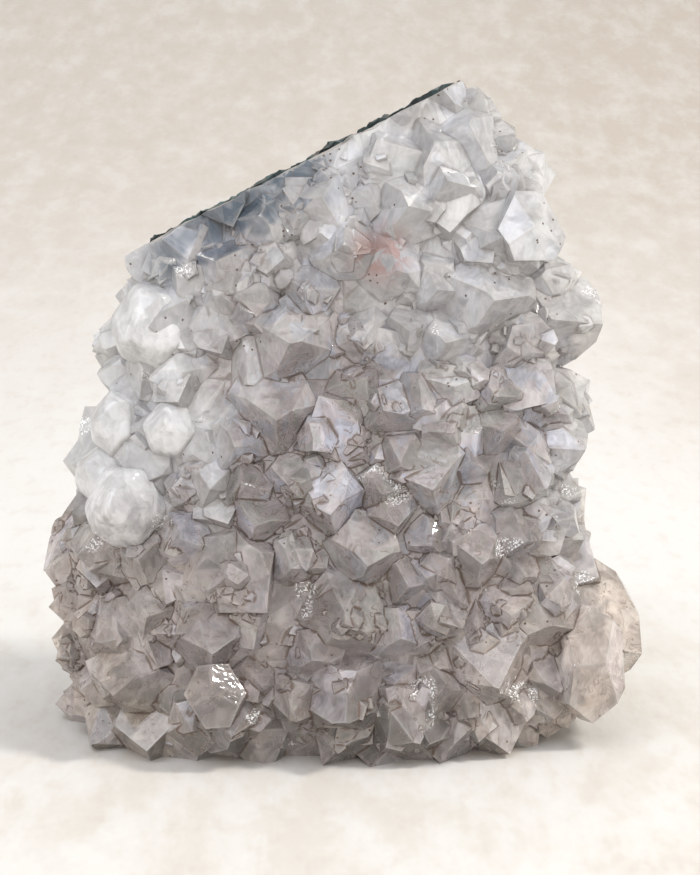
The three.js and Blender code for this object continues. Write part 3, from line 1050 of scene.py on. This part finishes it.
@dataclass
class CrystalCluster:
    """The quartz of the CAD with many more small points grown over it.

    Attributes:
        finish: the quartz's look.
        root_finish: the look of its back and base.
        layers: how many rounds of small points are joined on.
        per_layer: how many points each round has at most.
        tries: how many are tried for each of them.
        seed: where the random numbers start.
        valley_bend: how sharp a valley has to be to have points grow in it, in radians.
        valley_length: how long it has to be.
        ridge_bend: how sharp a ridge has to be, in radians.
        ridge_length: how long it has to be.
        bare_right: the big crystal beyond this x stays bare.
        bare_height: up to this height.
        furthest_back: no small point grows behind this y.
        lowest: or below this height.
        round_front: how far round the front points on faces are looked for, in radians.
        aside: how far to each side of the middle the looking starts.
        far_out: how far outside the quartz it starts.
        middle_below: where a small point's middle is below its tip. This and the next four are shares of
            its width.
        room: how far round its middle it keeps other points of its round away.
        rim_margin: how far its tip stays inside the CAD's box.
        off_ground: how high its middle is at least.
        root_depth: how deep its root is in the quartz at least.
        most_backward: how far backwards a point may lean, as its axis's y.
        templates: the small points' shapes.
        placed: the larger crystals at their own places.
        beside: one more, on the bare big crystal.
        worn: the milky crystals with rounded edges.
        grown: how many small points of each kind have grown.
        piece: the quartz, once it is built.
    """

    finish: QuartzFinish
    root_finish: RootFinish
    layers: int = 10
    per_layer: int = 160
    tries: int = 4
    seed: int = 408
    valley_bend: float = math.radians(14)
    valley_length: float = 1.0 * MM
    ridge_bend: float = math.radians(25)
    ridge_length: float = 2.5 * MM
    bare_right: float = 40 * MM
    bare_height: float = 34 * MM
    furthest_back: float = 6 * MM
    lowest: float = 1.2 * MM
    round_front: float = 1.75
    aside: float = 0.03
    far_out: float = 0.12
    middle_below: float = 0.75
    room: float = 1.1
    rim_margin: float = 0.1
    off_ground: float = 0.9
    root_depth: float = 0.4
    most_backward: float = 0.35
    templates: PointTemplates = field(default_factory=PointTemplates)
    placed: tuple[PlacedCrystal, ...] = (
        PlacedCrystal(38.3, 21.5, 11.0, 10.5, 0.3, (0.35, 0.3), 0.16),
        PlacedCrystal(29.9, 11.5, 15.5, 15.0, 0.0, (0.2, 0.15), 0.16),
        PlacedCrystal(31.0, 88.0, 11.0, 12.0, 0.5, (0.25, 0.2), 0.18),
        PlacedCrystal(-34.5, 10.5, 17.0, 16.5, 0.2, (-0.3, 0.2), 0.12),
        PlacedCrystal(5.6, 38.5, 17.0, 15.5, 0.4, (0.1, 0.3), 0.12),
        PlacedCrystal(-10.0, 63.0, 15.0, 15.0, 0.1, (-0.1, 0.2), 0.14),
        PlacedCrystal(-20.5, 14.0, 10.5, 11.0, 0.6, (-0.05, 0.45), 0.16),
        PlacedCrystal(22.0, 46.0, 12.0, 12.0, 0.2, (0.1, 0.2), 0.16),
        PlacedCrystal(15.0, 101.0, 13.0, 9.5, 0.0, (0.1, 0.25), 0.12),
    )
    beside: tuple[PlacedCrystal, ...] = (
        PlacedCrystal(43.6, 16.0, 12.5, 19.0, 0.0, (0.45, 0.15), 0.10),
    )
    worn: tuple[WornCrystal, ...] = (
        WornCrystal(-33.2, 70.6, 11.5, 13.5, 0.3, (-0.35, -0.1), 0.2, 0.9, 22.0),
        WornCrystal(-39.2, 56.2, 7.0, 10.0, 0.2, (-0.5, 0.3), 0.12, 0.9, 18.0),
        WornCrystal(-28.4, 56.7, 8.4, 8.6, 0.4, (-0.1, 0.5), 0.12, 0.9, 14.0),
        WornCrystal(-37.1, 42.8, 12.0, 13.6, 0.5, (-0.3, 0.2), 0.2, 0.9, 16.0),
        WornCrystal(-42.2, 48.6, 9.0, 10.0, 0.1, (-0.6, 0.5), 0.0, 0.9, 14.0),
    )
    grown: dict[Growth, int] = field(default_factory=lambda: {growth: 0 for growth in Growth})
    piece: bpy.types.Object | None = None

    def build(self) -> bpy.types.Object:
        """Makes the quartz and puts it in place of the CAD node.

        Returns:
            The finished piece.
        """
        stream = random.Random(self.seed)
        self.templates.build(stream)
        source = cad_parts[Node.CRYSTALS.value]
        self.piece = bpy.data.objects.new("quartz_crystals", source.data.copy())
        bpy.context.collection.objects.link(self.piece)
        self.piece.data.materials.clear()
        self.weld()
        surface = self.surface()
        lines = {
            Growth.CREVICE: self.lines_to_grow_on(-math.pi, -self.valley_bend, self.valley_length),
            Growth.RIDGE: self.lines_to_grow_on(self.ridge_bend, math.pi, self.ridge_length),
        }
        for _ in range(self.layers):
            self.join_layer(self.scatter(surface, lines, stream))
        surface = self.surface()
        for crystal in self.placed + self.beside:
            self.join_layer(crystal.shape(surface, self.templates))
        worn = [crystal.shape(surface, self.templates) for crystal in self.worn]
        skins = [
            BVHTree.FromPolygons([v.co for v in m.vertices], [p.vertices for p in m.polygons]) for m in worn
        ]
        for mesh in worn:
            self.join_layer(mesh)
        self.mark_facets(stream, skins)
        self.piece.data.materials.clear()
        self.piece.data.materials.append(self.finish.build())
        self.piece.data.materials.append(self.root_finish.build())
        for face in self.piece.data.polygons:
            face.material_index = int(self.is_root(face))
        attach(self.piece, ROOT_BODY)
        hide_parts(Node.CRYSTALS.value)
        log.info("small points: %s", {growth.name.lower(): count for growth, count in self.grown.items()})
        return self.piece

    @staticmethod
    def is_root(face: bpy.types.MeshPolygon) -> bool:
        """Whether a face is on the back or the base, where the crystals grew from the rock."""
        behind = face.normal.y > 0.7 and face.center.y > 3 * MM
        return behind or (face.normal.z < -0.95 and face.center.z < 0.5 * MM)

    def weld(self) -> None:
        """Joins the split corners of the imported mesh into one closed surface."""
        bm = bmesh.new()
        bm.from_mesh(self.piece.data)
        bmesh.ops.remove_doubles(bm, verts=bm.verts, dist=CAD_WELD)
        bm.to_mesh(self.piece.data)
        bm.free()
        self.piece.data.shade_flat()

    def surface(self) -> BVHTree:
        """Makes a tree of the quartz as it is now, for finding places on it.

        Returns:
            The tree.
        """
        bm = bmesh.new()
        bm.from_mesh(self.piece.data)
        tree = BVHTree.FromBMesh(bm)
        bm.free()
        return tree

    def lines_to_grow_on(
        self, least: float, most: float, length: float
    ) -> list[tuple[Vector, Vector, Vector]]:
        """The front edges between faces that meet at an angle of some range.

        Args:
            least: the least angle, below zero for valleys.
            most: the greatest angle.
            length: the least length.

        Returns:
            Each edge as its two ends and the way out of it.
        """
        bm = bmesh.new()
        bm.from_mesh(self.piece.data)
        found = []
        for edge in bm.edges:
            if not least < edge.calc_face_angle_signed(0.0) < most or edge.calc_length() < length:
                continue
            out = (edge.link_faces[0].normal + edge.link_faces[1].normal).normalized()
            if out.y < 0.15 and edge.verts[0].co.y < 8 * MM:
                found.append((edge.verts[0].co.copy(), edge.verts[1].co.copy(), out))
        bm.free()
        return found

    def scatter(self, surface: BVHTree, lines: dict[Growth, list], stream: random.Random) -> bpy.types.Mesh:
        """Makes one round of small points that don't touch each other.

        Args:
            surface: the CAD surface.
            lines: the valleys and the ridges to grow on.
            stream: the random numbers.

        Returns:
            One mesh with all the round's points.
        """
        low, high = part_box(Node.CRYSTALS.value)
        lengths = {
            growth: [(end - start).length for start, end, _ in found] for growth, found in lines.items()
        }
        weights = [rule.share for rule in RULES.values()]
        placed: list[tuple[Vector, float]] = []
        bm = bmesh.new()
        for _ in range(self.per_layer * self.tries):
            if len(placed) >= self.per_layer:
                break
            growth = stream.choices(list(RULES), weights)[0]
            if growth is Growth.DRUSE:
                spot, out = self.spot_on_face(surface, low.z, high.z, stream)
                if spot is None:
                    continue
            else:
                start, end, out = stream.choices(lines[growth], lengths[growth])[0]
                spot = start.lerp(end, stream.random())
            rule = RULES[growth]
            width = stream.uniform(*rule.widths) * MM
            axis = self.leaning(out, stream.uniform(0, rule.lean), stream)
            tip = spot + axis * width * stream.uniform(*rule.rise)
            middle, reach = tip - axis * width * self.middle_below, width * self.room
            if self.taken(spot) or not self.rooted(surface, tip, axis, width):
                continue
            if any((middle - other).length < reach + far for other, far in placed):
                continue
            margin = width * self.rim_margin
            inside = all(low[i] + margin < tip[i] < high[i] - margin for i in range(3))
            if not inside or middle.z < self.off_ground * width or self.over_edge(tip, width):
                continue
            before = len(bm.verts)
            bm.from_mesh(stream.choice(self.templates.meshes))
            bm.verts.ensure_lookup_table()
            turn = Vector((0, 0, 1)).rotation_difference(axis)
            turn = turn @ Quaternion((0, 0, 1), stream.uniform(0, FULL_TURN))
            place = Matrix.Translation(tip) @ turn.to_matrix().to_4x4() @ Matrix.Scale(width, 4)
            bmesh.ops.transform(bm, matrix=place, verts=bm.verts[before:])
            placed.append((middle, reach))
            self.grown[growth] += 1
        mesh = bpy.data.meshes.new("round_of_points")
        bm.to_mesh(mesh)
        bm.free()
        return mesh

    def taken(self, spot: Vector) -> bool:
        """Whether a place is too far back or low, or belongs to a larger crystal or the big bare one.

        Args:
            spot: the place.

        Returns:
            True where no small point may grow.
        """
        off = spot.y > self.furthest_back or spot.z < self.lowest
        bare = spot.x > self.bare_right and spot.z < self.bare_height
        return off or bare or any(crystal.covers(spot) for crystal in self.placed + self.worn)

    def rooted(self, surface: BVHTree, tip: Vector, axis: Vector, width: float) -> bool:
        """Whether a point faces forwards and has its root well inside the quartz.

        Args:
            surface: the CAD surface.
            tip: the point's tip.
            axis: the way it points.
            width: its width.

        Returns:
            True where it may grow.
        """
        root = tip - axis * width * self.templates.length
        return axis.y <= self.most_backward and self.buried(surface, root, width * self.root_depth)

    def spot_on_face(
        self, surface: BVHTree, low: float, high: float, stream: random.Random
    ) -> tuple[Vector | None, Vector]:
        """A place on the front of the quartz and the direction out of it.

        Args:
            surface: the CAD surface.
            low: the lowest height.
            high: the greatest height.
            stream: the random numbers.

        Returns:
            The place, or None where there is none, and the direction.
        """
        angle = stream.uniform(-self.round_front, self.round_front)
        out = Vector((math.sin(angle), -math.cos(angle), 0))
        start = Vector((stream.uniform(-self.aside, self.aside), 0, stream.uniform(low, high)))
        start += out * self.far_out
        hit, _, _, _ = surface.ray_cast(start, -out)
        return hit, out

    @staticmethod
    def buried(surface: BVHTree, point: Vector, depth: float) -> bool:
        """Whether a point lies inside the quartz by at least a depth, in metres."""
        nearest, normal, _, distance = surface.find_nearest(point)
        return distance > depth and (point - nearest).dot(normal) < 0

    @staticmethod
    def over_edge(tip: Vector, width: float) -> bool:
        """Whether a point would stick out over the broken edge."""
        return tip.z + width * 0.4 > EDGE_HEIGHT + (tip.x - EDGE_LEFT) * math.tan(EDGE_CLIMB)

    @staticmethod
    def leaning(direction: Vector, lean: float, stream: random.Random) -> Vector:
        """A unit vector at an angle from a direction, turned any way round it.

        Args:
            direction: the direction to lean away from.
            lean: the angle in radians.
            stream: the random numbers.

        Returns:
            The leaning vector.
        """
        across = direction.orthogonal().normalized()
        across.rotate(Quaternion(direction, stream.uniform(0, FULL_TURN)))
        return (direction * math.cos(lean) + across * math.sin(lean)).normalized()

    def join_layer(self, mesh: bpy.types.Mesh) -> None:
        """Joins a round of points, or one larger crystal, onto the quartz.

        Args:
            mesh: what is joined on.
        """
        points = bpy.data.objects.new("points", mesh)
        bpy.context.collection.objects.link(points)
        joiner = self.piece.modifiers.new("join", "BOOLEAN")
        joiner.operation = "UNION"
        joiner.solver = "MANIFOLD"
        joiner.object = points
        bpy.context.view_layer.update()
        graph = bpy.context.evaluated_depsgraph_get()
        joined = bpy.data.meshes.new_from_object(self.piece.evaluated_get(graph), depsgraph=graph)
        self.piece.modifiers.clear()
        if len(joined.polygons) > len(self.piece.data.polygons):
            self.piece.data = joined
        else:
            log.warning("%s was not joined", mesh.name)
        bpy.data.objects.remove(points)

    def mark_facets(self, stream: random.Random, skins: list[BVHTree]) -> None:
        """Divides each flat facet from its middle and stores what the shader needs on its corners.

        Args:
            stream: the random numbers for each facet's tone.
            skins: the surfaces of the worn crystals, which are one rounded facet each.
        """
        bm = bmesh.new()
        bm.from_mesh(self.piece.data)
        bmesh.ops.remove_doubles(bm, verts=bm.verts, dist=JOINED_WELD)
        bmesh.ops.dissolve_limit(bm, angle_limit=SAME_FACET, verts=bm.verts, edges=bm.edges)
        tone = bm.faces.layers.float.new("facet_tone")
        edge_distance = bm.loops.layers.float.new("edge_distance")
        seam = bm.faces.layers.float.new("seam")
        worn = bm.faces.layers.float.new("worn")
        for face in bm.faces:
            face[tone] = stream.random()
            middle = face.calc_center_median()
            if any(skin.find_nearest(middle, SKIN)[0] is not None for skin in skins):
                face[worn] = 1.0
                face[tone] = WORN_TONE
                face.smooth = True
        bmesh.ops.connect_verts_concave(bm, faces=bm.faces)
        borders = {}
        for edge in bm.edges:
            bend = edge.calc_face_angle_signed(0.0)
            borders[edge] = Border.NONE if abs(bend) < FLAT else (Border.RIDGE if bend > 0 else Border.VALLEY)
            sides = {face[worn] for face in edge.link_faces}
            if sides == {1.0}:
                borders[edge] = Border.NONE
            elif sides == {0.0, 1.0}:
                edge.smooth = False
        old = set(bm.verts)
        bmesh.ops.poke(bm, faces=bm.faces)
        for face in bm.faces:
            rim = [loop for loop in face.loops if loop.vert in old and loop.link_loop_next.vert in old][0]
            middle = rim.link_loop_prev
            away = rim.edge.verts[1].co - rim.edge.verts[0].co
            across = (middle.vert.co - rim.vert.co).cross(away).length / max(away.length, 1e-9)
            kind = borders.get(rim.edge, Border.NONE)
            face[seam] = float(kind is Border.VALLEY)
            for loop in face.loops:
                loop[edge_distance] = across if loop is middle or kind is Border.NONE else 0.0
                if face[worn] and kind is Border.NONE:
                    loop[edge_distance] = 1.0
        bm.to_mesh(self.piece.data)
        bm.free()


@dataclass
class RockRind:
    """The dark rock behind the quartz.

    Attributes:
        finish: the rock's look.
        lump: the size of its small lumps.
        depth: how deep the hollows between them are.
        rounds: how many times long edges are halved.
    """

    finish: RockFinish
    lump: float = 1.6 * MM
    depth: float = 0.9 * MM
    rounds: int = 2

    def build(self) -> bpy.types.Object:
        """Makes the rind and puts it in place of the CAD node.

        Returns:
            The finished piece.
        """
        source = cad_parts[Node.ROCK_RIND.value]
        piece = bpy.data.objects.new("rock_rind_looks", source.data.copy())
        bpy.context.collection.objects.link(piece)
        self.roughen(piece.data)
        piece.data.materials.clear()
        piece.data.materials.append(self.finish.build())
        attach(piece, ROOT_BODY)
        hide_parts(Node.ROCK_RIND.value)
        return piece

    def roughen(self, mesh: bpy.types.Mesh) -> None:
        """Breaks the rock's flat faces into small lumps that never stand out further than the CAD.

        Args:
            mesh: the rock's mesh, which is changed.
        """
        bm = bmesh.new()
        bm.from_mesh(mesh)
        bmesh.ops.remove_doubles(bm, verts=bm.verts, dist=CAD_WELD)
        for _ in range(self.rounds):
            long = [edge for edge in bm.edges if edge.calc_length() > self.lump]
            bmesh.ops.subdivide_edges(bm, edges=long, cuts=1, use_grid_fill=True)
        bmesh.ops.triangulate(bm, faces=bm.faces)
        bm.normal_update()
        moves = []
        for vert in bm.verts:
            lumps = noise.fractal(vert.co / self.lump, 0.8, 2.0, 3)
            moves.append(-vert.normal * self.depth * min(max(0.5 + lumps, 0.0), 1.0))
        for vert, move in zip(bm.verts, moves):
            vert.co += move
        bm.to_mesh(mesh)
        bm.free()


# ---- The room ----

# What the lights point at.
LIT = Vector((0, 0, 50 * MM))


@dataclass(frozen=True)
class SoftLight:
    """One square area light.

    Attributes:
        name: its name.
        place: where it stands.
        aim: what it points at.
        size: the length of its sides.
        power: its power in watts.
        colour: its colour.
    """

    name: str
    place: Vector
    aim: Vector
    size: float
    power: float
    colour: Rgb = (1.0, 1.0, 1.0)

    def build(self) -> bpy.types.Object:
        """Adds the light.

        Returns:
            The lamp.
        """
        data = bpy.data.lights.new(self.name, "AREA")
        data.size = self.size
        data.energy = self.power
        data.color = self.colour
        lamp = bpy.data.objects.new(self.name, data)
        lamp.location = self.place
        lamp.rotation_mode = "QUATERNION"
        lamp.rotation_quaternion = (self.aim - self.place).to_track_quat("-Z", "Y")
        bpy.context.collection.objects.link(lamp)
        return lamp


@dataclass
class Studio:
    """The floor, the lights and the camera.

    Attributes:
        floor: the floor's look.
        elevation: how far above level the camera stands, in radians.
        distance: how far it stands from what it points at.
        aim: what it points at.
        lens: its focal length in millimetres.
        shift: how far the picture is moved sideways, as a share of its long side.
        floor_half: how far the floor reaches to each side.
        floor_front: how far it reaches forwards.
        bend_start: where it starts to rise, behind the object.
        bend_radius: how gently it rises.
        bend: how steep it gets, in radians.
        lights: the lights.
        surround: the colour of the even light all round.
        surround_strength: its strength.
    """

    floor: FloorFinish
    elevation: float = math.radians(12)
    distance: float = 0.42
    aim: Vector = field(default_factory=lambda: Vector((0, 0, 49.4 * MM)))
    lens: float = 100.07
    shift: float = 10 / 875
    bend_start: float = 0.13
    bend_radius: float = 2.5
    bend: float = math.radians(20)
    floor_half: float = 1.6
    floor_front: float = 0.6
    lights: tuple[SoftLight, ...] = (
        SoftLight("key_light", Vector((0.62, -0.20, 0.85)), LIT, 0.16, 6.9, (1.0, 0.97, 0.93)),
        SoftLight("sky_panel", Vector((-0.28, -0.60, 1.10)), LIT, 0.9, 7.0, (0.78, 0.84, 1.0)),
    )
    surround: Rgb = (1.0, 0.975, 0.94)
    surround_strength: float = 0.90

    def build(self) -> None:
        """Adds everything that isn't part of the object."""
        self.add_floor()
        self.add_lights()
        self.add_camera()

    def add_floor(self) -> None:
        """Adds a floor that rises gently behind the object."""
        bm = bmesh.new()
        left = bm.verts.new((-self.floor_half, -self.floor_front, 0))
        right = bm.verts.new((self.floor_half, -self.floor_front, 0))
        edge = bm.edges.new((left, right))
        edge = self.pull(bm, [edge], Vector((0, self.floor_front + self.bend_start, 0)))
        centre = (0, self.bend_start, self.bend_radius)
        spun = bmesh.ops.spin(bm, geom=edge, cent=centre, axis=(1, 0, 0), angle=self.bend, steps=24)
        edge = [item for item in spun["geom_last"] if isinstance(item, bmesh.types.BMEdge)]
        self.pull(bm, edge, Vector((0, math.cos(self.bend), math.sin(self.bend))))
        bmesh.ops.recalc_face_normals(bm, faces=bm.faces)
        mesh = bpy.data.meshes.new("floor")
        bm.to_mesh(mesh)
        bm.free()
        mesh.shade_smooth()
        mesh.materials.append(self.floor.build())
        piece = bpy.data.objects.new("floor", mesh)
        bpy.context.collection.objects.link(piece)

    @staticmethod
    def pull(bm: bmesh.types.BMesh, edges: list, by: Vector) -> list:
        """Pulls a strip of floor out of an edge.

        Args:
            bm: the floor.
            edges: the edge, in a list.
            by: how far and which way to pull.

        Returns:
            The new edge, in a list.
        """
        pulled = bmesh.ops.extrude_edge_only(bm, edges=edges)["geom"]
        bmesh.ops.translate(bm, verts=[v for v in pulled if isinstance(v, bmesh.types.BMVert)], vec=by)
        return [item for item in pulled if isinstance(item, bmesh.types.BMEdge)]

    def add_lights(self) -> None:
        """Adds the key light, a cool fill and an even surround."""
        for light in self.lights:
            light.build()
        world = bpy.data.worlds.new("surround")
        world.use_nodes = True
        background = world.node_tree.nodes["Background"]
        background.inputs["Color"].default_value = rgba(self.surround)
        background.inputs["Strength"].default_value = self.surround_strength
        bpy.context.scene.world = world

    def add_camera(self) -> None:
        """Adds the camera a little above the object, in front of the crystals."""
        data = bpy.data.cameras.new("camera")
        data.lens = self.lens
        data.shift_x = self.shift
        camera = bpy.data.objects.new("camera", data)
        back = Vector((0, -math.cos(self.elevation), math.sin(self.elevation)))
        camera.location = self.aim + back * self.distance
        camera.rotation_euler = (math.pi / 2 - self.elevation, 0, 0)
        bpy.context.collection.objects.link(camera)
        bpy.context.scene.camera = camera
        bpy.context.scene.view_settings.view_transform = "Standard"


def main() -> None:
    """Builds the object's looks and the room round it."""
    logging.basicConfig(level=logging.INFO, format="%(message)s")
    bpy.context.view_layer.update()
    for part in (CrystalCluster(QuartzFinish(), RootFinish()), RockRind(RockFinish())):
        piece = part.build()
        log.info("%s: %d faces", piece.name, len(piece.data.polygons))
    Studio(FloorFinish()).build()
    log.info("the floor, the lights and the camera are in place")
    bpy.context.view_layer.update()


if __name__ == "__main__":
    main()
